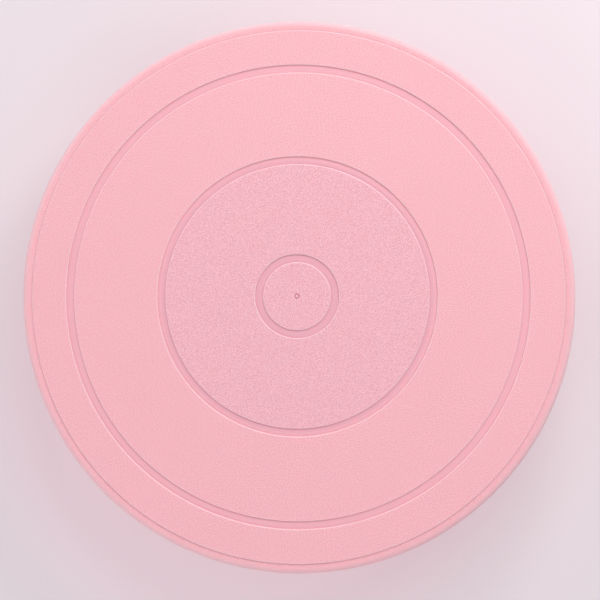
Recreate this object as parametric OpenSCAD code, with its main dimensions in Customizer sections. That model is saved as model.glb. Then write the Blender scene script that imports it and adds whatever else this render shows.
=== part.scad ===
// Cake turntable: a round plate with three marking rings that turns on a ball bearing
// in a flared pedestal base, and lifts off with its steel spindle for washing.
// Origin at the centre of the foot plane on the table, +Z up.

/* [Plate] */
// Diameter of the plate over the foot of its skirt
plate_d = 279; // [270:1:300]
// Height of the plate's top face above the table
stand_h = 70; // [66:1:90]
// Height of the skirt around the plate's edge
skirt_h = 12; // [9:1:13]
// Spread of the skirt from its rounded top edge to its foot
skirt_flare = 1.2; // [0.4:0.1:1.6]
// Thickness of the plate's skin
skin_t = 2.8; // [2.4:0.1:3.4]
// Number of radial ribs under the plate
plate_rib_count = 12; // [9:3:18]

/* [Marking rings and rim] */
// Diameter of the inner marking ring
inner_ring_d = 38; // [32:1:48]
// Diameter of the middle marking ring
middle_ring_d = 136; // [110:1:160]
// Diameter of the outer marking ring
outer_ring_d = 228; // [190:1:236]
// Width of each ring groove over its rounded lips
ring_w = 5; // [3.6:0.1:5.5]
// Depth of each ring groove
ring_depth = 0.8; // [0.5:0.1:1.2]
// Width of the rim, from the raised field to the foot of the skirt
rim_w = 6.2; // [5.8:0.1:8]
// Drop from the field to the ledge
rim_step = 0.7; // [0.5:0.1:1.2]
// Rounding of the plate's top edge
rim_round = 3; // [1.5:0.1:3.4]

/* [Spindle] */
// Diameter of the spindle's shaft
shaft_d = 10; // [9:0.5:10]
// Length of the shaft below its shoulder
shaft_len = 33.5; // [30:0.5:34]
// Diameter of the flange screwed to the plate
flange_d = 44; // [42:1:46]

/* [Base] */
// Diameter of the base over its lip
base_d = 185; // [178:1:210]
// Diameter of the neck under the collar
neck_d = 78; // [76:1:84]
// Radius of the hollow flare between neck and foot
flare_r = 32; // [24:1:32]
// Slope of the foot in degrees
foot_slope = 12; // [8:1:14]
// Wall thickness of the base
wall_t = 2.8; // [2.4:0.1:3.2]
// Number of ribs inside the base
base_rib_count = 9; // [6:3:12]
// Number of rubber feet
foot_count = 6; // [3:1:8]

/* [Hidden] */

$fn = 96;
overlap = 0.5; // how far fused shapes run into each other
turn = 360;

// Colours
plate_pink = [0.95, 0.73, 0.77];
base_pink = [0.93, 0.70, 0.75];
steel = [0.76, 0.77, 0.79];
zinc = [0.82, 0.82, 0.80];
nylon = [0.93, 0.92, 0.87];
black_rubber = [0.14, 0.14, 0.15];
grey_rubber = [0.46, 0.45, 0.47];

// Heights, from the top down
plate_r = plate_d / 2;
top_r = plate_r - skirt_flare;
field_r = plate_r - rim_w;
skin_z = stand_h - skin_t;
ledge_z = stand_h - rim_step;
skirt_t = 2.4;
skirt_z = stand_h - skirt_h;
skirt_slope = atan(skirt_flare / (skirt_h - rim_step - rim_round));
hub_z = stand_h - 10;
flange_top_z = stand_h - 9;
flange_t = 2.5;
flange_z = flange_top_z - flange_t;
shoulder_h = 4;
sleeve_z = flange_z - shoulder_h;
sleeve_flange_t = 1.5;
cap_z = sleeve_z - sleeve_flange_t;
cap_t = 2;
deck_z = cap_z + cap_t;

// Small roundings of the plate
corner_r = 0.15;
ring_lip_r = ring_depth - corner_r;
step_lip_r = rim_step - corner_r;
edge_r = 0.8;
inner_fillet_r = 1.5;

// Moulding mark in the middle of the plate
mark_r = 1.35;
mark_nub_r = 0.6;
mark_slant = 0.15;
mark_depth = 0.55;
dimple_r = 0.25;

// Ribs and hub under the plate
rib_t = 2;
rib_rise = 2;
ring_rib_r = [0.38 * plate_r, 0.62 * plate_r, 0.84 * plate_r];
ring_rib_depth = 4;
hub_r = 26.5;
hub_t = 2.5;
socket_r = 8.5;
socket_clear = 0.1;
pilot_r = 5;
pilot_h = 3;
web_count = 6;
web_t = 1.6;
web_recess = 0.5;

// Screws
screw_r = 1.5;
screw_len = 8;
screw_tip = 1.2;
head_r = 2.8;
head_h = 1.8;
head_round = 0.8;
drive_w = 0.8;
drive_len = 3.2;
drive_depth = 0.9;
boss_r = 3.75;
screw_count = 3;
spindle_screw_pitch_r = 16;
washer_r = 3.5;
washer_t = 0.5;
clearance_hole_r = 1.7;
hole_spare = 0.4;
cap_screw_pitch_r = 22.5;
cap_screw_len = 10;
cap_screw_turn = 20;
sink_h = 1.3;

// Bearing, 12 x 32 x 10 with seven balls
bearing_bore_r = 6;
bearing_r = 16;
bearing_w = 10;
bearing_z = cap_z - bearing_w;
bearing_mid_z = cap_z - bearing_w / 2;
ball_r = 2.975;
ball_count = 7;
pitch_r = 11;
race_clear = 0.02;
race_r = 3.09;
inner_land_r = 9.25;
outer_land_r = 12.75;
shield_seat_r = 13.6;
shield_seat_h = 1.1;
shield_in_r = 9.6;
shield_t = 0.4;
race_chamfer = 0.6;
cage_t = 0.4;
cage_clear = 0.06;
cage_half_w = 0.95;
rivet_r = 0.5;
rivet_head_r = 0.8;
rivet_head_h = 0.3;

// Sleeve, bush and cap of the spindle
fit_clear = 0.05;
shaft_r = shaft_d / 2;
shaft_tip = 1.2;
sleeve_flange_r = 8.5;
shoulder_r = 8;
cap_r = 28;
cap_clear = 0.2;
cap_bore_r = 12;
seal_in_r = 8.9;
seal_lift = 0.5;
tube_in_r = 8;
tube_r = 11;
tube_z = sleeve_z - shaft_len - 1;
bush_len = 12;
bush_flange_t = 1.5;
bush_flange_r = 10.5;
end_cap_t = 1.5;
end_cap_grip = 4;

// Base
base_r = base_d / 2;
neck_r = neck_d / 2;
foot_proud = 1.5;
lip_round = 2;
lip_c_z = 5.5;
collar_h = 5;
collar_r = neck_r + 3.5;
collar_fillet = 2;
collar_round = 1.5;
housing_r = 19;
seat_r = 13;
seat_relief = 1;
housing_floor_t = 3;
deck_t = 3;
deck_step_r = 30.5;
base_fillet = 1.5;
flare_c = [
    neck_r + flare_r,
    lip_c_z + lip_round * cos(foot_slope) + flare_r * cos(foot_slope)
        + (base_r - lip_round * (1 - sin(foot_slope)) - neck_r - flare_r * (1 - sin(foot_slope)))
        * tan(foot_slope)
];
base_rib_t = 2.2;
base_rib_z = tube_z + 7;
base_rib_reach = 0.8 * base_r;

// Rubber feet
foot_r = 7;
foot_sink = 2;
foot_ring_r = 0.86 * base_r;
foot_cup_r = 9;
foot_groove = [3.2, 4.4];
foot_groove_h = 0.5;

// Points along an arc about c, from angle a0 to angle a1
function arc(c, r, a0, a1, steps = 6) =
    [for (i = [0 : steps]) c + r * [cos(a0 + (a1 - a0) * i / steps), sin(a0 + (a1 - a0) * i / steps)]];

// Ring with a square section
module ring(r_in, r_out, z0, z1) {
    rotate_extrude() translate([r_in, z0]) square([r_out - r_in, z1 - z0]);
}

// Copies of a child, evenly spaced around the axis at radius r
module around(count, r, first = 0) {
    for (i = [0 : count - 1]) rotate(first + i * turn / count) translate([r, 0, 0]) children();
}

// Upright web that lies along +X, from an outline of radii and heights
module web(thickness, outline) {
    rotate([90, 0, 0]) translate([0, 0, -thickness / 2]) linear_extrude(thickness) polygon(outline);
}

// Cross-shaped driver recess, cut down from z = 0
module driver_cross() {
    for (a = [0, 90]) rotate(a) translate([-drive_len / 2, -drive_w / 2, -drive_depth])
        cube([drive_len, drive_w, drive_depth + overlap]);
}

// Plate -------------------------------------------------------------------------------

// Outline of one ring groove: broad rounded lips that run down into the corners of a flat floor
function groove(d) = concat(
    arc([d / 2 - ring_w / 2, stand_h - ring_lip_r], ring_lip_r, 90, 0),
    arc([d / 2 - ring_w / 2 + ring_depth, stand_h - ring_lip_r], corner_r, 210, 270, 2),
    arc([d / 2 + ring_w / 2 - ring_depth, stand_h - ring_lip_r], corner_r, 270, 330, 2),
    arc([d / 2 + ring_w / 2, stand_h - ring_lip_r], ring_lip_r, 180, 90)
);

function centre_mark() = [
    [0, stand_h - dimple_r], [dimple_r, stand_h], [mark_nub_r, stand_h],
    [mark_nub_r + mark_slant, stand_h - mark_depth], [mark_r - mark_slant, stand_h - mark_depth],
    [mark_r, stand_h]
];

// Raised field's edge, ledge, rounded rim and skirt, then back under the skin
function rim_outline() = concat(
    arc([field_r - step_lip_r, stand_h - step_lip_r], step_lip_r, 90, 0),
    arc([field_r + corner_r, ledge_z + corner_r], corner_r, 210, 270, 2),
    arc([top_r - rim_round, ledge_z - rim_round], rim_round, 90, skirt_slope, 12),
    arc([plate_r - edge_r, skirt_z + edge_r], edge_r, skirt_slope, -90, 5),
    arc([plate_r - skirt_t + edge_r, skirt_z + edge_r], edge_r, -90, -180, 5),
    arc([top_r - skirt_t - inner_fillet_r, skin_z - rim_step - inner_fillet_r], inner_fillet_r, 0, 90, 5),
    [[field_r - skin_t / 2, skin_z - rim_step], [field_r - skin_t / 2 - rim_step, skin_z], [0, skin_z]]
);

module plate_ribs() {
    around(plate_rib_count, 0) web(rib_t, [
        [hub_r - hub_t / 2, hub_z], [top_r - skirt_t / 2, hub_z + rib_rise],
        [top_r - skirt_t / 2, skin_z - rim_step], [field_r - rim_w, skin_z + overlap],
        [hub_r - hub_t / 2, skin_z + overlap]
    ]);
    for (r = ring_rib_r) ring(r - rib_t / 2, r + rib_t / 2, skin_z - ring_rib_depth, skin_z + overlap);
}

// Hub ring, spindle socket, webs and screw bosses
module plate_hub() {
    ring(hub_r - hub_t, hub_r, hub_z, skin_z + overlap);
    translate([0, 0, flange_top_z]) cylinder(r = socket_r, h = skin_z + overlap - flange_top_z);
    around(web_count, 0, turn / web_count / 2) web(web_t, [
        [socket_r - 1, flange_top_z + web_recess], [hub_r - hub_t / 2, flange_top_z + web_recess],
        [hub_r - hub_t / 2, skin_z + overlap], [socket_r - 1, skin_z + overlap]
    ]);
    around(screw_count, spindle_screw_pitch_r) translate([0, 0, flange_top_z])
        cylinder(r = boss_r, h = skin_z + overlap - flange_top_z);
}

module turntable_plate() {
    color(plate_pink) difference() {
        union() {
            rotate_extrude($fn = 180) polygon(concat(
                centre_mark(), groove(inner_ring_d), groove(middle_ring_d), groove(outer_ring_d),
                rim_outline()
            ));
            plate_ribs();
            plate_hub();
        }
        translate([0, 0, flange_top_z - overlap])
            cylinder(r = pilot_r + socket_clear, h = pilot_h + 2 * overlap);
        around(screw_count, spindle_screw_pitch_r) translate([0, 0, flange_top_z - overlap])
            cylinder(r = screw_r, h = screw_len - flange_t - washer_t + hole_spare + overlap, $fn = 32);
    }
}

// Spindle -----------------------------------------------------------------------------

module spindle() {
    color(steel) difference() {
        rotate_extrude() polygon(concat(
            [
                [0, flange_top_z + pilot_h], [pilot_r - hole_spare, flange_top_z + pilot_h],
                [pilot_r, flange_top_z + pilot_h - hole_spare], [pilot_r, flange_top_z]
            ],
            arc([flange_d / 2 - hole_spare, flange_top_z - hole_spare], hole_spare, 90, 0, 3),
            arc([flange_d / 2 - hole_spare, flange_z + hole_spare], hole_spare, 0, -90, 3),
            [
                [shoulder_r, flange_z], [shoulder_r, sleeve_z + hole_spare],
                [shoulder_r - hole_spare, sleeve_z], [shaft_r, sleeve_z],
                [shaft_r, sleeve_z - shaft_len + shaft_tip],
                [shaft_r - shaft_tip, sleeve_z - shaft_len], [0, sleeve_z - shaft_len]
            ]
        ));
        around(screw_count, spindle_screw_pitch_r) translate([0, 0, flange_z - overlap])
            cylinder(r = clearance_hole_r, h = flange_t + 2 * overlap, $fn = 32);
    }
}

// Pan-head screw with its seat at z = 0 and its head below
module pan_screw() {
    difference() {
        rotate_extrude($fn = 32) polygon(concat(
            [[0, -head_h]],
            arc([head_r - head_round, head_round - head_h], head_round, -90, 0, 4),
            [[head_r, 0], [screw_r, 0], [screw_r, screw_len - screw_tip], [0, screw_len]]
        ));
        translate([0, 0, -head_h]) mirror([0, 0, 1]) driver_cross();
    }
}

module spindle_screws() {
    color(zinc) around(screw_count, spindle_screw_pitch_r) translate([0, 0, flange_z - washer_t]) pan_screw();
}

module spindle_washers() {
    color(zinc) around(screw_count, spindle_screw_pitch_r)
        ring(clearance_hole_r, washer_r, flange_z - washer_t, flange_z);
}

module spindle_sleeve() {
    color(nylon) rotate_extrude() polygon([
        [shaft_r + fit_clear, bearing_z], [bearing_bore_r - hole_spare, bearing_z],
        [bearing_bore_r, bearing_z + hole_spare], [bearing_bore_r, cap_z],
        [sleeve_flange_r, cap_z], [sleeve_flange_r, sleeve_z - hole_spare],
        [sleeve_flange_r - hole_spare, sleeve_z], [shaft_r + fit_clear, sleeve_z]
    ]);
}

// Bearing -----------------------------------------------------------------------------

module bearing_inner_ring() {
    color(steel) rotate_extrude() difference() {
        polygon([
            [bearing_bore_r, bearing_z + race_chamfer], [bearing_bore_r + race_chamfer, bearing_z],
            [inner_land_r, bearing_z], [inner_land_r, cap_z],
            [bearing_bore_r + race_chamfer, cap_z], [bearing_bore_r, cap_z - race_chamfer]
        ]);
        translate([pitch_r - ball_r - race_clear + race_r, bearing_mid_z]) circle(r = race_r);
    }
}

module bearing_outer_ring() {
    color(steel) rotate_extrude() difference() {
        polygon([
            [shield_seat_r, bearing_z], [bearing_r - race_chamfer, bearing_z],
            [bearing_r, bearing_z + race_chamfer], [bearing_r, cap_z - race_chamfer],
            [bearing_r - race_chamfer, cap_z], [shield_seat_r, cap_z],
            [shield_seat_r, cap_z - shield_seat_h], [outer_land_r, cap_z - shield_seat_h],
            [outer_land_r, bearing_z + shield_seat_h], [shield_seat_r, bearing_z + shield_seat_h]
        ]);
        translate([pitch_r + ball_r + race_clear - race_r, bearing_mid_z]) circle(r = race_r);
    }
}

module bearing_balls() {
    color(steel) around(ball_count, pitch_r) translate([0, 0, bearing_mid_z]) sphere(r = ball_r);
}

// Upper half of the ball cage about z = 0: a flat ribbon domed over each ball
module cage_half() {
    dome_r = ball_r + cage_clear + cage_t;
    difference() {
        union() {
            ring(pitch_r - cage_half_w, pitch_r + cage_half_w, 0, cage_t);
            around(ball_count, pitch_r) intersection() {
                sphere(r = dome_r);
                translate([-cage_half_w, -dome_r - 1, 0]) cube([2 * cage_half_w, 2 * dome_r + 2, dome_r + 1]);
            }
        }
        around(ball_count, pitch_r) sphere(r = ball_r + cage_clear);
        around(ball_count, pitch_r, turn / ball_count / 2) translate([0, 0, -overlap])
            cylinder(r = rivet_r, h = cage_t + 2 * overlap, $fn = 32);
    }
}

module bearing_cage_upper() {
    color(zinc) translate([0, 0, bearing_mid_z]) cage_half();
}

module bearing_cage_lower() {
    color(zinc) translate([0, 0, bearing_mid_z]) mirror([0, 0, 1]) cage_half();
}

module bearing_cage_rivets() {
    rivet_top = cage_t + rivet_head_h;
    color(zinc) around(ball_count, pitch_r, turn / ball_count / 2) translate([0, 0, bearing_mid_z])
        rotate_extrude($fn = 32) polygon([
            [0, -rivet_top], [rivet_r, -rivet_top], [rivet_head_r, -cage_t], [rivet_r, -cage_t],
            [rivet_r, cage_t], [rivet_head_r, cage_t], [rivet_r, rivet_top], [0, rivet_top]
        ]);
}

module shield(z0) {
    color(steel) ring(shield_in_r, shield_seat_r, z0, z0 + shield_t);
}

module bearing_shield_upper() {
    shield(cap_z - shield_seat_h);
}

module bearing_shield_lower() {
    shield(bearing_z + shield_seat_h - shield_t);
}

module bearing_cap() {
    color(zinc) difference() {
        rotate_extrude() polygon([
            [cap_bore_r, cap_z], [cap_r, cap_z], [cap_r, deck_z - hole_spare],
            [cap_r - hole_spare, deck_z], [cap_bore_r, deck_z]
        ]);
        around(screw_count, cap_screw_pitch_r, cap_screw_turn) {
            translate([0, 0, cap_z - overlap]) cylinder(r = clearance_hole_r, h = cap_t + overlap, $fn = 32);
            translate([0, 0, deck_z - sink_h]) cylinder(r1 = screw_r, r2 = head_r, h = sink_h, $fn = 32);
            translate([0, 0, deck_z]) cylinder(r = head_r, h = overlap, $fn = 32);
        }
    }
}

// Countersunk screw with its flat head's face at z = 0 and its shank below
module sunk_screw() {
    difference() {
        rotate_extrude($fn = 32) polygon([
            [0, 0], [head_r, 0], [screw_r, -sink_h], [screw_r, screw_tip - cap_screw_len],
            [0, -cap_screw_len]
        ]);
        driver_cross();
    }
}

module bearing_cap_screws() {
    color(zinc) around(screw_count, cap_screw_pitch_r, cap_screw_turn) translate([0, 0, deck_z]) sunk_screw();
}

// Rubber ring in the cap's bore that keeps crumbs off the bearing
module dust_seal() {
    color(grey_rubber) rotate_extrude() polygon([
        [cap_bore_r, cap_z + seal_lift], [cap_bore_r, deck_z], [cap_bore_r - 1, deck_z],
        [seal_in_r + 1, deck_z - 0.6], [seal_in_r, deck_z - 0.3], [seal_in_r, deck_z - 0.9],
        [seal_in_r + 1, cap_z + seal_lift]
    ]);
}

// Base --------------------------------------------------------------------------------

// Where the straight foot meets the hollow flare, for a surface t inside the wall
function flare_end(t) = flare_c - (flare_r + t) * [sin(foot_slope), cos(foot_slope)];

// Height of the straight foot at radius r, for a surface t inside the wall
function foot_z(r, t) = flare_end(t)[1] - (r - flare_end(t)[0]) * tan(foot_slope);

function base_outside() = concat(
    arc([base_r - edge_r, foot_proud + edge_r], edge_r, -90, 0, 4),
    arc([base_r - lip_round, lip_c_z], lip_round, 0, 90 - foot_slope, 6),
    arc(flare_c, flare_r, turn * 3 / 4 - foot_slope, turn / 2, 24),
    arc([neck_r + collar_fillet, deck_z - collar_h - collar_fillet], collar_fillet, 180, 90, 5),
    arc([collar_r - edge_r, deck_z - collar_h + edge_r], edge_r, -90, 0, 4),
    arc([collar_r - collar_round, deck_z - collar_round], collar_round, 0, 90, 6)
);

// Cap recess, bearing seat and spindle tube, from the deck down to the tube's outside
function base_bore() = [
    [cap_r + cap_clear, deck_z], [cap_r + cap_clear, cap_z], [bearing_r, cap_z],
    [bearing_r, bearing_z], [seat_r, bearing_z], [seat_r, bearing_z - seat_relief],
    [tube_in_r, bearing_z - seat_relief], [tube_in_r, tube_z], [tube_r, tube_z],
    [tube_r, bearing_z - seat_relief - housing_floor_t], [housing_r, bearing_z - seat_relief - housing_floor_t],
    [housing_r, cap_z - deck_t], [deck_step_r, cap_z - deck_t], [deck_step_r + cap_t, deck_z - deck_t]
];

function base_inside() = concat(
    arc([neck_r - wall_t - base_fillet, deck_z - deck_t - base_fillet], base_fillet, 90, 0, 4),
    arc(flare_c, flare_r + wall_t, turn / 2, turn * 3 / 4 - foot_slope, 24),
    [[base_r - wall_t, foot_z(base_r - wall_t, wall_t)]],
    arc([base_r - wall_t + edge_r, foot_proud + edge_r], edge_r, 180, 270, 4)
);

// Everything below the middle of the wall, to trim ribs and foot cups to the shell
module under_shell() {
    rotate_extrude() polygon(concat(
        [[0, foot_proud], [base_r - wall_t / 2, foot_proud], [base_r - wall_t / 2, foot_z(base_r, wall_t / 2)]],
        arc(flare_c, flare_r + wall_t / 2, turn * 3 / 4 - foot_slope, turn / 2, 24),
        [[neck_r - wall_t / 2, cap_z - deck_t / 2], [0, cap_z - deck_t / 2]]
    ));
}

module base_ribs() {
    tube_mid_r = (tube_in_r + tube_r) / 2;
    housing_mid_r = (bearing_r + housing_r) / 2;
    floor_mid_z = bearing_z - seat_relief - housing_floor_t / 2;
    intersection() {
        under_shell();
        around(base_rib_count, 0) web(base_rib_t, [
            [tube_mid_r, base_rib_z], [base_rib_reach, foot_z(base_rib_reach, wall_t)],
            [base_rib_reach, deck_z], [housing_mid_r, deck_z], [housing_mid_r, floor_mid_z],
            [tube_mid_r, floor_mid_z]
        ]);
    }
}

module foot_cups() {
    intersection() {
        under_shell();
        around(foot_count, foot_ring_r) cylinder(r = foot_cup_r, h = deck_z);
    }
}

module base_shell() {
    color(base_pink) difference() {
        union() {
            rotate_extrude($fn = 128) polygon(concat(base_outside(), base_bore(), base_inside()));
            base_ribs();
            foot_cups();
            around(screw_count, cap_screw_pitch_r, cap_screw_turn)
                translate([0, 0, deck_z - cap_screw_len - 1]) cylinder(r = boss_r, h = cap_screw_len - cap_t);
        }
        around(screw_count, cap_screw_pitch_r, cap_screw_turn)
            translate([0, 0, deck_z - cap_screw_len - hole_spare])
                cylinder(r = screw_r, h = cap_screw_len, $fn = 32);
        around(foot_count, foot_ring_r) cylinder(r = foot_r, h = foot_proud + foot_sink);
    }
}

module lower_bush() {
    color(nylon) rotate_extrude() polygon([
        [shaft_r + fit_clear, tube_z - bush_flange_t], [bush_flange_r, tube_z - bush_flange_t],
        [bush_flange_r, tube_z], [tube_in_r, tube_z], [tube_in_r, tube_z + bush_len - 1],
        [tube_in_r - 1, tube_z + bush_len], [shaft_r + fit_clear, tube_z + bush_len]
    ]);
}

// Push-on plastic cup that closes the tube from below
module tube_end_cap() {
    cap_floor_z = tube_z - bush_flange_t - end_cap_t;
    color(base_pink) rotate_extrude() polygon([
        [0, cap_floor_z], [tube_r + end_cap_t - edge_r, cap_floor_z],
        [tube_r + end_cap_t, cap_floor_z + edge_r], [tube_r + end_cap_t, tube_z + end_cap_grip],
        [tube_r, tube_z + end_cap_grip], [tube_r, tube_z - bush_flange_t], [0, tube_z - bush_flange_t]
    ]);
}

module rubber_foot() {
    rotate_extrude($fn = 48) polygon(concat(
        [
            [0, 0], [foot_groove[0], 0], [foot_groove[0] + foot_groove_h / 2, foot_groove_h],
            [foot_groove[1] - foot_groove_h / 2, foot_groove_h], [foot_groove[1], 0]
        ],
        arc([foot_r - edge_r, edge_r], edge_r, -90, 0, 5),
        [[foot_r, foot_proud + foot_sink], [0, foot_proud + foot_sink]]
    ));
}

module rubber_feet() {
    color(black_rubber) around(foot_count, foot_ring_r) rubber_foot();
}

turntable_plate();
spindle();
spindle_screws();
spindle_washers();
spindle_sleeve();
bearing_inner_ring();
bearing_outer_ring();
bearing_balls();
bearing_cage_upper();
bearing_cage_lower();
bearing_cage_rivets();
bearing_shield_upper();
bearing_shield_lower();
bearing_cap();
bearing_cap_screws();
dust_seal();
base_shell();
lower_bush();
tube_end_cap();
rubber_feet();
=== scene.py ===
import math

import bmesh
import bpy
from mathutils import Matrix, Vector


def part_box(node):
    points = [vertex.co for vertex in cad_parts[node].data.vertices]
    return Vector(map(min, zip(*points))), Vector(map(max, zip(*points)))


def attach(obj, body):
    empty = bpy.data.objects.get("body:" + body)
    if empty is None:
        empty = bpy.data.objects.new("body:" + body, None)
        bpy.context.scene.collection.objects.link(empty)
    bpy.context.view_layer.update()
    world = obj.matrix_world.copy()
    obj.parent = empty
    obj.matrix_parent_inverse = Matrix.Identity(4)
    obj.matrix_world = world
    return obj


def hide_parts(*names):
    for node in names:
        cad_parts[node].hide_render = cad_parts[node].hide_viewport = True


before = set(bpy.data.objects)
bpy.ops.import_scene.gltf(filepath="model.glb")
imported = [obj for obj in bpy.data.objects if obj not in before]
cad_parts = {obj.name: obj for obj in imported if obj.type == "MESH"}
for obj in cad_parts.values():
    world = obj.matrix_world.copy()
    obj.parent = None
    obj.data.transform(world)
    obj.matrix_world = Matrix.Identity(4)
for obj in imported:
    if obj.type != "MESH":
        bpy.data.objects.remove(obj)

MM = 0.001
TURN = 2 * math.pi
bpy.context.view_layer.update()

# Where the parts are, from the frame -----------------------------------------------------

PLATE_LOW, PLATE_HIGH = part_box("turntable_plate")
PLATE_RADIUS = (PLATE_HIGH.x - PLATE_LOW.x) / 2
PLATE_TOP = PLATE_HIGH.z
RIM_WIDTH = 6.2 * MM
FIELD_RADIUS = PLATE_RADIUS - RIM_WIDTH
MIDDLE_GROOVE_RADIUS = 68 * MM

# Colours, linear
PLATE_PINK = (0.98, 0.508, 0.558)
FROSTED_PINK = (0.93, 0.494, 0.557)
# Groove floor colours: painted shade and bounce colour, darker and deeper pink than the top
GROOVE_SHADE_PINK = (0.935, 0.485, 0.55)
INNER_GROOVE_SHADE_PINK = (0.89, 0.455, 0.53)
# Pale pink: painted highlight and painted sheen on the plate, real edge wear on the base
PALE_WEAR_AND_HIGHLIGHT_PINK = (1.0, 0.72, 0.76)
# Multiplied into corners and creases as painted shade
CREASE_SHADE_PINK = (0.86, 0.74, 0.76)
BASE_PINK = (0.95, 0.47, 0.53)
STEEL_GREY = (0.55, 0.56, 0.58)
ZINC_GREY = (0.62, 0.62, 0.60)
NYLON_CREAM = (0.80, 0.78, 0.70)
SEAL_GREY = (0.09, 0.085, 0.095)
FOOT_BLACK = (0.012, 0.012, 0.014)
DUST_GREY = (0.25, 0.23, 0.23)
FLOOR_WHITE = (0.77, 0.72, 0.75)
BOUNCE_PINK = (0.80, 0.59, 0.65)
STUDIO_WHITE = (0.80, 0.76, 0.79)

# Contrast of the moulded grain in red, green and blue, and the light that soaks into the plastic
FINE_SPECKLE = (0.105, 0.22, 0.19)
FROST_SPECKLE = (0.147, 0.32, 0.27)
FAINT_SPECKLE = (0.02, 0.045, 0.04)
TRANSLUCENT = {
    "Subsurface Weight": 0.25, "Subsurface Scale": 1.4 * MM, "Subsurface Radius": (1.0, 0.4, 0.35)
}


# Node graphs -----------------------------------------------------------------------------

class Graph:
    """A material's node tree, built by short calls that each return an output socket."""

    def __init__(self, name):
        self.material = bpy.data.materials.new(name)
        self.material.use_nodes = True
        self.tree = self.material.node_tree
        self.tree.nodes.clear()
        self.output = self.tree.nodes.new("ShaderNodeOutputMaterial")

    def node(self, kind, inputs=None, out=0, **settings):
        """Adds a node with its inputs, each a value or another node's socket, and its settings."""
        made = self.tree.nodes.new(kind)
        for key, value in settings.items():
            setattr(made, key, value)
        for key, value in (inputs or {}).items():
            if isinstance(value, bpy.types.NodeSocket):
                self.tree.links.new(value, made.inputs[key])
            else:
                made.inputs[key].default_value = value
        return made.outputs[out]

    def math(self, operation, a, b=0.0):
        return self.node("ShaderNodeMath", {0: a, 1: b}, operation=operation)

    def vector(self, operation, a, b=(0, 0, 0), out=0):
        return self.node("ShaderNodeVectorMath", {0: a, 1: b}, out=out, operation=operation)

    def remap(self, value, low, high, to_low=0.0, to_high=1.0):
        """Smooth step from to_low at low to to_high at high."""
        inputs = {"Value": value, "From Min": low, "From Max": high, "To Min": to_low, "To Max": to_high}
        return self.node("ShaderNodeMapRange", inputs, interpolation_type="SMOOTHSTEP")

    def mix(self, factor, a, b, blend="MIX"):
        """Colour between a and b; a factor of 1 gives b."""
        made = self.tree.nodes.new("ShaderNodeMix")
        made.data_type = "RGBA"
        made.blend_type = blend
        for key, value in {0: factor, 6: a, 7: b}.items():
            if isinstance(value, bpy.types.NodeSocket):
                self.tree.links.new(value, made.inputs[key])
            else:
                made.inputs[key].default_value = value if key == 0 else (*value, 1)[:4]
        return made.outputs[2]

    def mix_value(self, factor, a, b):
        return self.node("ShaderNodeMix", {0: factor, 2: a, 3: b})

    def noise(self, position, size, detail=2.0, roughness=0.5):
        """Fractal noise whose largest features are about size metres across."""
        inputs = {"Vector": position, "Scale": 1 / size, "Detail": detail, "Roughness": roughness}
        return self.node("ShaderNodeTexNoise", inputs)

    def place(self):
        """Position on the piece, in metres, which rides with it."""
        return self.node("ShaderNodeTexCoord", out="Object")

    def axis(self, vector, index):
        """One of a vector's parts: 0 for x, 1 for y or 2 for z."""
        return self.node("ShaderNodeSeparateXYZ", {0: vector}, out=index)

    def radius(self, place):
        """Distance from the spin axis."""
        return self.vector("LENGTH", self.vector("MULTIPLY", place, (1, 1, 0)), out="Value")

    def invert(self, value):
        return self.math("SUBTRACT", 1.0, value)

    def product(self, *values):
        result = values[0]
        for value in values[1:]:
            result = self.math("MULTIPLY", result, value)
        return result

    def speckle(self, colour, noise, contrast):
        """The colour made paler and deeper by the noise, by up to each channel's contrast."""
        levels = [self.remap(noise, 0.3, 0.7, 1 - c, 1 + c) for c in contrast]
        pattern = self.node("ShaderNodeCombineColor", dict(enumerate(levels)))
        return self.mix(1.0, colour, pattern, "MULTIPLY")

    def crease_shade(self, reach):
        """Mask for painted shade: 0 on open surfaces, up to 1 deep in corners,
        from how much is hidden within reach.
        """
        settings = {"samples": 4, "only_local": True}
        open_sky = self.node("ShaderNodeAmbientOcclusion", {"Distance": reach}, out="AO", **settings)
        return self.remap(open_sky, 1.0, 0.45)

    def edges(self, width):
        """1 along corners about width metres wide, 0 elsewhere, and the normal rounded over them."""
        rounded = self.node("ShaderNodeBevel", {"Radius": width}, samples=6)
        face = self.node("ShaderNodeNewGeometry", out="Normal")
        bend = self.invert(self.vector("DOT_PRODUCT", rounded, face, out="Value"))
        return self.remap(bend, 0.01, 0.12), rounded

    def finish(self, colour, roughness, height, depth, rounded=None, **inputs):
        """The finished material, with its surface raised by height times depth metres."""
        bump = {"Height": height, "Distance": depth, "Strength": 1.0}
        if rounded is not None:
            bump["Normal"] = rounded
        shader = {"Base Color": colour, "Roughness": roughness}
        shader["Normal"] = self.node("ShaderNodeBump", bump)
        shader.update(inputs)
        surface = self.node("ShaderNodeBsdfPrincipled", shader)
        self.tree.links.new(surface, self.output.inputs["Surface"])
        return self.material

    def clear_from_behind(self):
        """Makes the back of the finished surface see-through."""
        surface = self.output.inputs["Surface"]
        behind = self.node("ShaderNodeNewGeometry", out="Backfacing")
        clear = self.node("ShaderNodeBsdfTransparent")
        shaders = {0: behind, 1: surface.links[0].from_socket, 2: clear}
        self.tree.links.new(self.node("ShaderNodeMixShader", shaders), surface)


def shade(colour, factor):
    """The colour made lighter or darker."""
    return tuple(c * factor for c in colour)


# Materials -------------------------------------------------------------------------------

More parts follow.
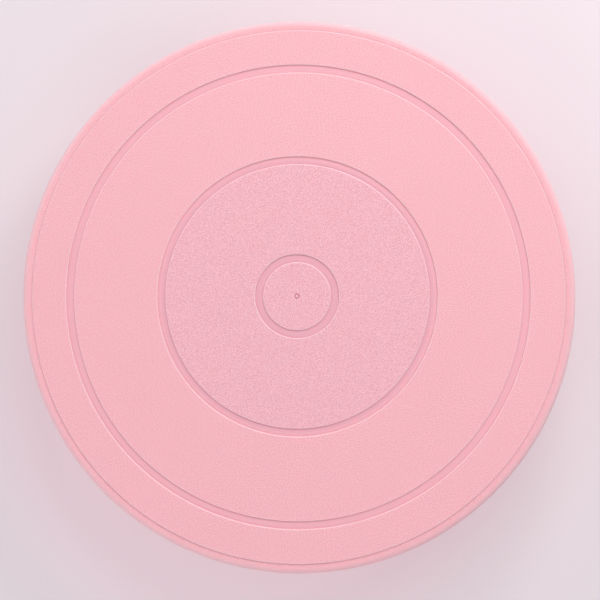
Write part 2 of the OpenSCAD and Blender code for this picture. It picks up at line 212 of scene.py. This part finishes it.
def plate_plastic():
    """Matte pink plastic: a coarse frosted grain inside the middle groove and a finer one outside it,
    groove floors that are smoother and painted deeper, darker pink as painted shade and bounce colour,
    upper edges painted paler as a painted highlight and made glossier, the centre nub's top paler,
    painted sheen on the thin outer rim and painted shade in the creases."""
    g = Graph("plate_plastic")
    place = g.place()
    radius = g.radius(place)
    height = g.axis(place, 2)
    upward = g.axis(g.node("ShaderNodeNewGeometry", out="Normal"), 2)

    # Where each finish, painted highlight, painted sheen and painted shade is, from 0 to 1
    inner = g.remap(radius, MIDDLE_GROOVE_RADIUS + 0.2 * MM, MIDDLE_GROOVE_RADIUS - 0.2 * MM)
    field = g.remap(radius, FIELD_RADIUS + 0.7 * MM, FIELD_RADIUS + 0.3 * MM)
    top = g.remap(height, PLATE_TOP - 1.2 * MM, PLATE_TOP - 1.0 * MM)
    sunk = g.product(field, g.remap(height, PLATE_TOP - 0.45 * MM, PLATE_TOP - 0.75 * MM))
    rounded = g.product(g.remap(upward, 0.998, 0.95), g.remap(upward, 0.45, 0.8))
    nub = g.remap(radius, 0.8 * MM, 0.5 * MM)
    # Painted highlight: the upper edges of the lips are made paler, and the top of the centre nub too
    lip_highlight_and_nub = g.math("MAXIMUM", g.product(rounded, field, g.invert(sunk), top), g.product(nub, top))
    # Painted sheen: the outer rounding of the rim is made paler
    rim_sheen = g.product(g.remap(radius, PLATE_RADIUS - 4.5 * MM, PLATE_RADIUS - 2.0 * MM),
                     g.remap(height, PLATE_TOP - 6 * MM, PLATE_TOP - 4 * MM))
    smooth_rim = g.remap(radius, FIELD_RADIUS, FIELD_RADIUS + 1.5 * MM, 0.0, 0.76)
    # Painted shade: corners and creases are darkened by how hidden they are
    crease_shade = g.crease_shade(1.2 * MM)

    fine = g.mix_value(smooth_rim, g.noise(place, 0.5 * MM, 2.0, 0.6), 0.5)
    coarse = g.noise(place, 0.48 * MM, 2.0, 0.7)
    clouds = g.noise(place, 60 * MM, 3.0, 0.55)
    colour = g.mix(clouds, shade(PLATE_PINK, 0.985), shade(PLATE_PINK, 1.015))
    colour = g.speckle(colour, fine, FINE_SPECKLE)
    colour = g.mix(inner, colour, g.speckle(FROSTED_PINK, coarse, FROST_SPECKLE))
    # Painted shade and bounce colour: the groove floors are coloured darker, deeper pink
    colour = g.mix(sunk, colour, g.mix(inner, GROOVE_SHADE_PINK, INNER_GROOVE_SHADE_PINK))
    # Painted highlight on the lips, and the paler nub top
    colour = g.mix(g.math("MULTIPLY", lip_highlight_and_nub, 0.8), colour, PALE_WEAR_AND_HIGHLIGHT_PINK)
    # Painted sheen on the outer rim
    colour = g.mix(g.math("MULTIPLY", rim_sheen, 0.35), colour, PALE_WEAR_AND_HIGHLIGHT_PINK)
    # Painted shade in the creases
    colour = g.mix(crease_shade, colour, CREASE_SHADE_PINK, "MULTIPLY")
    grain = g.math("ADD", g.math("MULTIPLY", fine, 0.5), g.product(coarse, inner, 2.5))
    roughness = g.mix_value(lip_highlight_and_nub, g.remap(fine, 0.3, 0.7, 0.46, 0.58), 0.34)
    shine = {"Specular IOR Level": g.remap(upward, 0.3, 0.8, 0.15, 0.5)}
    return g.finish(colour, roughness, grain, 0.02 * MM, **TRANSLUCENT, **shine)


def satin_plastic(name, tint, rubbed_tint):
    """Moulded plastic with a faint grain, cloudy colour, uneven gloss, faint scuffs and paler edges."""
    g = Graph(name)
    place = g.place()
    fine = g.noise(place, 0.8 * MM, 3.0, 0.6)
    clouds = g.noise(place, 45 * MM, 3.0, 0.55)
    edge, rounded = g.edges(0.6 * MM)
    patchy = g.remap(g.noise(place, 9 * MM, 4.0, 0.7), 0.4, 0.65)
    colour = g.speckle(g.mix(clouds, shade(tint, 0.97), shade(tint, 1.03)), fine, FAINT_SPECKLE)
    colour = g.mix(g.product(edge, patchy, 0.45), colour, rubbed_tint)
    scuffs = g.noise(g.vector("MULTIPLY", place, (1, 1, 6)), 5 * MM, 5.0, 0.75)
    roughness = g.math("ADD", g.remap(g.noise(place, 12 * MM, 2.0), 0.3, 0.7, 0.34, 0.44),
                       g.remap(scuffs, 0.55, 0.75, 0.0, 0.12))
    return g.finish(colour, roughness, fine, 0.01 * MM, rounded, **TRANSLUCENT)


def turned_metal(name, tint, low_rough, high_rough):
    """Metal turned on a lathe: fine lines around the Z axis, faint smudges and brighter edges."""
    g = Graph(name)
    place = g.place()
    across = g.node("ShaderNodeCombineXYZ", {0: g.radius(place), 1: g.axis(place, 2)})
    lines = g.noise(across, 0.12 * MM, 2.0, 0.7)
    smudges = g.noise(place, 8 * MM, 3.0, 0.6)
    edge, rounded = g.edges(0.25 * MM)
    colour = g.mix(smudges, shade(tint, 0.92), shade(tint, 1.06))
    colour = g.mix(g.math("MULTIPLY", edge, 0.5), colour, shade(tint, 1.35))
    streaks = g.math("ADD", g.math("MULTIPLY", lines, 0.5), g.math("MULTIPLY", smudges, 0.5))
    roughness = g.remap(streaks, 0.35, 0.65, low_rough, high_rough)
    return g.finish(colour, roughness, lines, 0.004 * MM, rounded, Metallic=1.0)


def plated_metal(name, tint):
    """Zinc plating: grainy, faintly mottled, worn brighter on its edges."""
    g = Graph(name)
    place = g.place()
    grain = g.noise(place, 0.35 * MM, 3.0, 0.6)
    mottle = g.noise(place, 4 * MM, 3.0, 0.6)
    edge, rounded = g.edges(0.2 * MM)
    colour = g.mix(mottle, shade(tint, 0.88), shade(tint, 1.06))
    colour = g.mix(g.math("MULTIPLY", edge, 0.5), colour, shade(tint, 1.3))
    roughness = g.remap(mottle, 0.3, 0.7, 0.26, 0.4)
    return g.finish(colour, roughness, grain, 0.006 * MM, rounded, Metallic=1.0)


def rubber(name, tint):
    """Soft rubber with a fine grain and dust on it."""
    g = Graph(name)
    place = g.place()
    grain = g.noise(place, 0.5 * MM, 4.0, 0.65)
    dust = g.remap(g.noise(place, 6 * MM, 3.0, 0.6), 0.5, 0.75)
    edge, rounded = g.edges(0.4 * MM)
    dusty = g.math("ADD", g.math("MULTIPLY", dust, 0.12), g.math("MULTIPLY", edge, 0.12))
    colour = g.mix(dusty, tint, DUST_GREY)
    roughness = g.remap(grain, 0.3, 0.7, 0.68, 0.85)
    return g.finish(colour, roughness, grain, 0.02 * MM, rounded)


def floor_material():
    """Pale board that glows to paint light on itself: painted pink bounce light close to the object, and
    painted brightness towards the window, towards the side with no lamp and at the horizon. Its back is
    see-through, so a view from below shows the ribs and feet."""
    g = Graph("floor")
    place = g.place()
    radius = g.radius(place)
    clouds = g.noise(place, 400 * MM, 3.0, 0.5)
    colour = g.mix(clouds, shade(FLOOR_WHITE, 0.985), shade(FLOOR_WHITE, 1.01))
    colour = g.mix(g.remap(radius, 350 * MM, 900 * MM), colour, shade(FLOOR_WHITE, 0.78))

    from_spot = g.vector("DISTANCE", place, (-30 * MM, -60 * MM, 0), out="Value")
    near = g.remap(from_spot, 100 * MM, 167 * MM, 0.275, 0.0)
    towards_window = g.vector("DOT_PRODUCT", place, (0.53, 0.85, 0), out="Value")
    window_side = g.product(g.remap(towards_window, 52 * MM, 160 * MM, 0.0, 0.12),
                            g.remap(radius, 300 * MM, 700 * MM, 1.0, 0.0))
    towards_shade = g.vector("DOT_PRODUCT", place, (0.7, -0.7, 0), out="Value")
    shade_side = g.remap(towards_shade, 550 * MM, 1600 * MM, 0.0, 0.36)
    far = g.math("MAXIMUM", g.remap(radius, 1200 * MM, 3500 * MM, 0.08, 0.40), shade_side)
    # Painted light: the floor's glow stands for bounce light and window light
    glow = {
        "Emission Color": g.mix(g.remap(radius, 250 * MM, 600 * MM), BOUNCE_PINK, FLOOR_WHITE),
        "Emission Strength": g.math("ADD", g.math("ADD", near, window_side), far)
    }
    grain = g.noise(place, 1.2 * MM, 3.0)
    material = g.finish(colour, 0.85, grain, 0.01 * MM, **glow)
    g.clear_from_behind()
    return material


def assign(material, *names):
    """Puts one material in every slot of the named CAD nodes."""
    for name in names:
        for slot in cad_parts[name].material_slots:
            slot.material = material


# Meshes ----------------------------------------------------------------------------------

def arc(centre, radius, start, end, steps):
    """Points (radius, height) along an arc, with angles in degrees."""
    angles = [math.radians(start + (end - start) * i / steps) for i in range(steps + 1)]
    return [(centre[0] + radius * math.cos(a), centre[1] + radius * math.sin(a)) for a in angles]


def ring(bm, radius, height, sides, place=Matrix()):
    """Vertices around the axis at a height, or one vertex on the axis, in mm."""
    turns = [TURN * k / sides for k in range(1 if radius == 0 else sides)]
    points = [Vector((radius * math.cos(t), radius * math.sin(t), height)) for t in turns]
    return [bm.verts.new(place @ point * MM) for point in points]


def bridge(bm, rings, sides):
    """Faces between each ring of vertices and the next."""
    for lower, upper in zip(rings, rings[1:]):
        for k in range(sides):
            corners = [lower[k % len(lower)], upper[k % len(upper)],
                       upper[(k + 1) % len(upper)], lower[(k + 1) % len(lower)]]
            bm.faces.new(list(dict.fromkeys(corners)))


def lathe(outline, sides, place=Matrix()):
    """Closed mesh turned from an outline that starts and ends on the axis, in mm."""
    bm = bmesh.new()
    bridge(bm, [ring(bm, radius, height, sides, place) for radius, height in outline], sides)
    return bm


def join(bm, other):
    """Adds another mesh to bm as loose solids and frees the other."""
    made = {v: bm.verts.new(v.co) for v in other.verts}
    for face in other.faces:
        bm.faces.new([made[v] for v in face.verts])
    other.free()


def add_piece(name, bm, material, body, replaced, sharp=40):
    """Makes a piece that rides on a body and stands for a CAD node. Its shading is smooth except
    over edges that bend by more than sharp degrees."""
    bmesh.ops.recalc_face_normals(bm, faces=bm.faces)
    for face in bm.faces:
        face.smooth = True
    for edge in bm.edges:
        edge.smooth = len(edge.link_faces) < 2 or edge.calc_face_angle(0) < math.radians(sharp)
    mesh = bpy.data.meshes.new(name)
    bm.to_mesh(mesh)
    bm.free()
    mesh.materials.append(material)
    piece = bpy.data.objects.new(name, mesh)
    bpy.context.scene.collection.objects.link(piece)
    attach(piece, body)
    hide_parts(replaced)


def cut(bm, cutter):
    """Subtracts one closed mesh from another and frees both."""
    objects = []
    for source in (bm, cutter):
        bmesh.ops.recalc_face_normals(source, faces=source.faces)
        mesh = bpy.data.meshes.new("cut")
        source.to_mesh(mesh)
        source.free()
        objects.append(bpy.data.objects.new("cut", mesh))
        bpy.context.scene.collection.objects.link(objects[-1])
    body, tool = objects
    modifier = body.modifiers.new("cut", "BOOLEAN")
    modifier.operation = "DIFFERENCE"
    modifier.solver = "EXACT"
    modifier.object = tool
    evaluated = body.evaluated_get(bpy.context.evaluated_depsgraph_get())
    result = bmesh.new()
    result.from_mesh(evaluated.to_mesh())
    evaluated.to_mesh_clear()
    for item in objects:
        mesh = item.data
        bpy.data.objects.remove(item)
        bpy.data.meshes.remove(mesh)
    bmesh.ops.remove_doubles(result, verts=result.verts, dist=0.0002 * MM)
    return result


# Screws, sizes in mm ----------------------------------------------------------------------

SCREW_COUNT = 3
SCREW_SIDES = 32
SCREW_HEAD = 2.8  # radius
SCREW_CREST = 1.5  # radius over the thread
SCREW_ROOT = 1.08  # radius under the thread
SCREW_PITCH = 1.25
THREAD_ROWS = 12  # rows of vertices to a turn of the thread
RIDGE_HALF = 0.3  # half the ridge's width, as a share of the pitch
RUN_OUT = 0.6  # length over which the thread fades in
TAPER = 2.4  # length of the pointed end
TAPER_CURVE = 0.7
PAN_HEIGHT = 1.8
PAN_ROUND = 1.1
SINK_DEPTH = 1.3
CAP_SCREW_TURN = 20  # degrees from +X to the first cap screw

# Height, reach of the arms and half their width, down the cross recess
RECESS_LEVELS = ((0.3, 1.75, 0.44), (0, 1.6, 0.4), (-1.3, 0.55, 0.25))


def thread_rings(bm, top, tip):
    """Rings down a shank whose coarse thread runs out at the top and tapers to a point."""
    count = round((top - tip) / SCREW_PITCH * THREAD_ROWS)
    rings = []
    for i in range(count):
        height = top + (tip - top) * i / count
        slim = min(1.0, (height - tip) / TAPER)
        depth = min(1.0, (top - height) / RUN_OUT) * slim
        rings.append([])
        for k in range(SCREW_SIDES):
            phase = (height / SCREW_PITCH - k / SCREW_SIDES) % 1
            ridge = max(0.0, 1 - abs(phase - 0.5) / RIDGE_HALF)
            radius = slim ** TAPER_CURVE * SCREW_ROOT + depth * ridge * (SCREW_CREST - SCREW_ROOT)
            turn = TURN * k / SCREW_SIDES
            point = Vector((radius * math.cos(turn), radius * math.sin(turn), height))
            rings[-1].append(bm.verts.new(point * MM))
    rings.append([bm.verts.new((0, 0, tip * MM))])
    return rings


def cross_recess():
    """Cutter for a cross recess that narrows downwards from z = 0."""
    bm = bmesh.new()
    levels = []
    for height, reach, half in RECESS_LEVELS:
        level = []
        for quarter in range(4):
            turn = Matrix.Rotation(TURN * quarter / 4, 3, "Z")
            for x, y in ((half, -half), (reach, -half), (reach, half)):
                level.append(bm.verts.new(turn @ Vector((x, y, height)) * MM))
        levels.append(level)
    bridge(bm, levels, len(levels[0]))
    bm.faces.new(levels[0])
    bm.faces.new(list(reversed(levels[-1])))
    return bm


def screw(head_outline, shank_top, tip):
    """Screw with its drive facing up at z = 0: a turned head above a threaded shank."""
    bm = bmesh.new()
    head = [ring(bm, radius, height, SCREW_SIDES) for radius, height in head_outline]
    bridge(bm, head + thread_rings(bm, shank_top, tip), SCREW_SIDES)
    return cut(bm, cross_recess())


def screw_set(template, pitch_radius, first, height, flip):
    """Copies of a screw around the axis, each turned a little differently, as screws end up.
    The pitch radius and height are in metres and the first screw's angle in degrees."""
    bm = bmesh.new()
    for i in range(SCREW_COUNT):
        angle = math.radians(first) + TURN * i / SCREW_COUNT
        spot = Matrix.Rotation(angle, 4, "Z") @ Matrix.Translation((pitch_radius, 0, height))
        spin = Matrix.Rotation(0.4 + 1.1 * i, 4, "Z")
        over = Matrix.Rotation(math.pi, 4, "X") if flip else Matrix()
        copy = template.copy()
        copy.transform(spot @ over @ spin)
        join(bm, copy)
    template.free()
    return bm


def make_pan_screws(zinc):
    """Screws that hold the spindle's flange under the plate, with their heads down."""
    low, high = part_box("spindle_screws")
    outline = [(0, 0), (SCREW_HEAD - 1.5, 0)]
    outline += arc((SCREW_HEAD - PAN_ROUND, -PAN_ROUND), PAN_ROUND, 80, 0, 6)
    outline += [(SCREW_HEAD, 0.15 - PAN_HEIGHT), (SCREW_HEAD - 0.15, -PAN_HEIGHT)]
    outline += [(SCREW_ROOT + 0.25, -PAN_HEIGHT), (SCREW_ROOT, -PAN_HEIGHT - 0.2)]
    template = screw(outline, -PAN_HEIGHT - 0.3, (low.z - high.z) / MM)
    screws = screw_set(template, high.x - SCREW_HEAD * MM, 0, low.z, True)
    add_piece("pan_screws", screws, zinc, "plate", "spindle_screws")


def make_sunk_screws(zinc):
    """Countersunk screws that hold the bearing cap, flush with its top."""
    low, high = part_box("bearing_cap_screws")
    outline = [(0, 0), (SCREW_HEAD - 0.1, 0), (SCREW_HEAD, -0.1)]
    outline += [(SCREW_CREST, -SINK_DEPTH), (SCREW_ROOT, -SINK_DEPTH - 0.3)]
    template = screw(outline, -SINK_DEPTH - 0.4, (low.z - high.z) / MM)
    pitch_radius = (high.x - SCREW_HEAD * MM) / math.cos(math.radians(CAP_SCREW_TURN))
    screws = screw_set(template, pitch_radius, CAP_SCREW_TURN, high.z, False)
    add_piece("sunk_screws", screws, zinc, "base", "bearing_cap_screws")


# Rubber feet, sizes in mm -----------------------------------------------------------------

FOOT_COUNT = 6
FOOT_SIDES = 64
FOOT_RADIUS = 7
FOOT_ROUND = 0.85
FOOT_CHAMFER = 0.3
GRIP_COUNT = 5
GRIP_START = 1.35  # radius of the innermost ridge's crest
GRIP_PITCH = 1.05
GRIP_HEIGHT = 0.25


def make_feet(material):
    """Feet with fine ring-shaped grip ridges underneath and a rounded lower edge."""
    low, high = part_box("rubber_feet")
    height = (high.z - low.z) / MM
    outline = [(0, GRIP_HEIGHT), (0.8, GRIP_HEIGHT)]
    for i in range(GRIP_COUNT):
        crest = GRIP_START + i * GRIP_PITCH
        outline += [(crest - 0.3, GRIP_HEIGHT), (crest - 0.2, 0.05), (crest, 0.0)]
        outline += [(crest + 0.2, 0.05), (crest + 0.3, GRIP_HEIGHT)]
    outline += arc((FOOT_RADIUS - FOOT_ROUND, FOOT_ROUND), FOOT_ROUND, -70, 0, 6)
    outline += [(FOOT_RADIUS, height - FOOT_CHAMFER), (FOOT_RADIUS - FOOT_CHAMFER, height), (0, height)]
    pitch_radius = high.x / MM - FOOT_RADIUS
    bm = bmesh.new()
    for i in range(FOOT_COUNT):
        spot = Matrix.Rotation(TURN * i / FOOT_COUNT, 4, "Z") @ Matrix.Translation((pitch_radius, 0, 0))
        join(bm, lathe(outline, FOOT_SIDES, spot))
    add_piece("grip_feet", bm, material, "base", "rubber_feet", sharp=50)


def make_pieces(zinc):
    """Pieces that stand for CAD nodes with finer detail."""
    make_pan_screws(zinc)
    make_sunk_screws(zinc)
    make_feet(rubber("foot_rubber", FOOT_BLACK))


def dress_nodes(zinc):
    """Gives every CAD node that stays its material."""
    assign(plate_plastic(), "turntable_plate")
    assign(satin_plastic("base_plastic", BASE_PINK, PALE_WEAR_AND_HIGHLIGHT_PINK), "base_shell", "tube_end_cap")
    assign(satin_plastic("bush_nylon", NYLON_CREAM, shade(NYLON_CREAM, 1.1)),
           "spindle_sleeve", "lower_bush")
    assign(turned_metal("spindle_steel", STEEL_GREY, 0.2, 0.34), "spindle")
    assign(turned_metal("bearing_steel", shade(STEEL_GREY, 0.95), 0.12, 0.24),
           "bearing_inner_ring", "bearing_outer_ring")
    assign(turned_metal("ball_steel", STEEL_GREY, 0.05, 0.12), "bearing_balls")
    assign(plated_metal("cage_steel", shade(STEEL_GREY, 1.05)),
           "bearing_cage_upper", "bearing_cage_lower", "bearing_cage_rivets",
           "bearing_shield_upper", "bearing_shield_lower")
    assign(zinc, "spindle_washers", "bearing_cap")
    assign(rubber("seal_rubber", SEAL_GREY), "dust_seal")


# Stage -----------------------------------------------------------------------------------

FLOOR_HALF = 6.0
FLOOR_GAP = 0.1 * MM


def make_floor():
    """Board just under the feet, wide enough to reach the horizon of a low view."""
    corners = [(x * FLOOR_HALF, y * FLOOR_HALF, 0) for x, y in ((-1, -1), (1, -1), (1, 1), (-1, 1))]
    mesh = bpy.data.meshes.new("floor")
    mesh.from_pydata(corners, [], [(0, 1, 2, 3)])
    mesh.materials.append(floor_material())
    floor = bpy.data.objects.new("floor", mesh)
    floor.location.z = -FLOOR_GAP
    bpy.context.scene.collection.objects.link(floor)


def aim(thing, target):
    """Points a lamp or camera at target with +Y upwards in its view."""
    back = (thing.location - Vector(target)).normalized()
    right = Vector((0, 1, 0)).cross(back).normalized()
    thing.rotation_euler = Matrix((right, back.cross(right), back)).transposed().to_euler()


def area_light(name, location, target, size, watts, colour):
    """Round lamp that faces target, in metres and watts."""
    data = bpy.data.lights.new(name, "AREA")
    data.shape = "DISK"
    data.size = size
    data.energy = watts
    data.color = colour
    light = bpy.data.objects.new(name, data)
    light.location = location
    aim(light, target)
    bpy.context.scene.collection.objects.link(light)


def make_world():
    """Soft light from all round; the camera itself sees a pale studio wall."""
    world = bpy.data.worlds.new("studio")
    world.use_nodes = True
    tree = world.node_tree
    light = tree.nodes["Background"]
    light.inputs["Color"].default_value = (0.96, 0.95, 1.0, 1)
    light.inputs["Strength"].default_value = 0.42
    wall = tree.nodes.new("ShaderNodeBackground")
    wall.inputs["Color"].default_value = (*STUDIO_WHITE, 1)
    wall.inputs["Strength"].default_value = 0.9
    path = tree.nodes.new("ShaderNodeLightPath")
    mix = tree.nodes.new("ShaderNodeMixShader")
    tree.links.new(path.outputs["Is Camera Ray"], mix.inputs[0])
    tree.links.new(light.outputs[0], mix.inputs[1])
    tree.links.new(wall.outputs[0], mix.inputs[2])
    tree.links.new(mix.outputs[0], tree.nodes["World Output"].inputs["Surface"])
    bpy.context.scene.world = world


def light_scene():
    """Broad window light from beyond the plate, a weak fill opposite and a low light on the rim."""
    centre = (0, 0, PLATE_TOP)
    area_light("window", (0.50, 1.00, 1.15), centre, 1.3, 18.2, (1.0, 0.985, 0.97))
    area_light("fill", (-0.50, -1.05, 0.60), centre, 1.2, 4.6, (1.0, 0.97, 0.98))
    area_light("side", (-1.15, 0.50, 0.32), centre, 0.45, 2.0, (1.0, 0.98, 0.98))
    make_world()


CAMERA_DISTANCE = 0.75
FRAME_SHARE = 1.0713


def add_camera():
    """Looks down on the plate from a little to the right. The frame is a little wider than the plate,
    by FRAME_SHARE."""
    target = Vector((1.5 * MM, -1.9 * MM, PLATE_TOP))
    data = bpy.data.cameras.new("camera")
    data.sensor_width = 36
    data.lens = data.sensor_width * CAMERA_DISTANCE / (2 * PLATE_RADIUS * FRAME_SHARE)
    camera = bpy.data.objects.new("camera", data)
    camera.location = target + Vector((30 * MM, -17 * MM, CAMERA_DISTANCE))
    aim(camera, target)
    bpy.context.scene.collection.objects.link(camera)
    bpy.context.scene.camera = camera


screw_zinc = plated_metal("screw_zinc", ZINC_GREY)
make_pieces(screw_zinc)
dress_nodes(screw_zinc)
make_floor()
light_scene()
add_camera()
bpy.context.scene.view_settings.view_transform = "Standard"
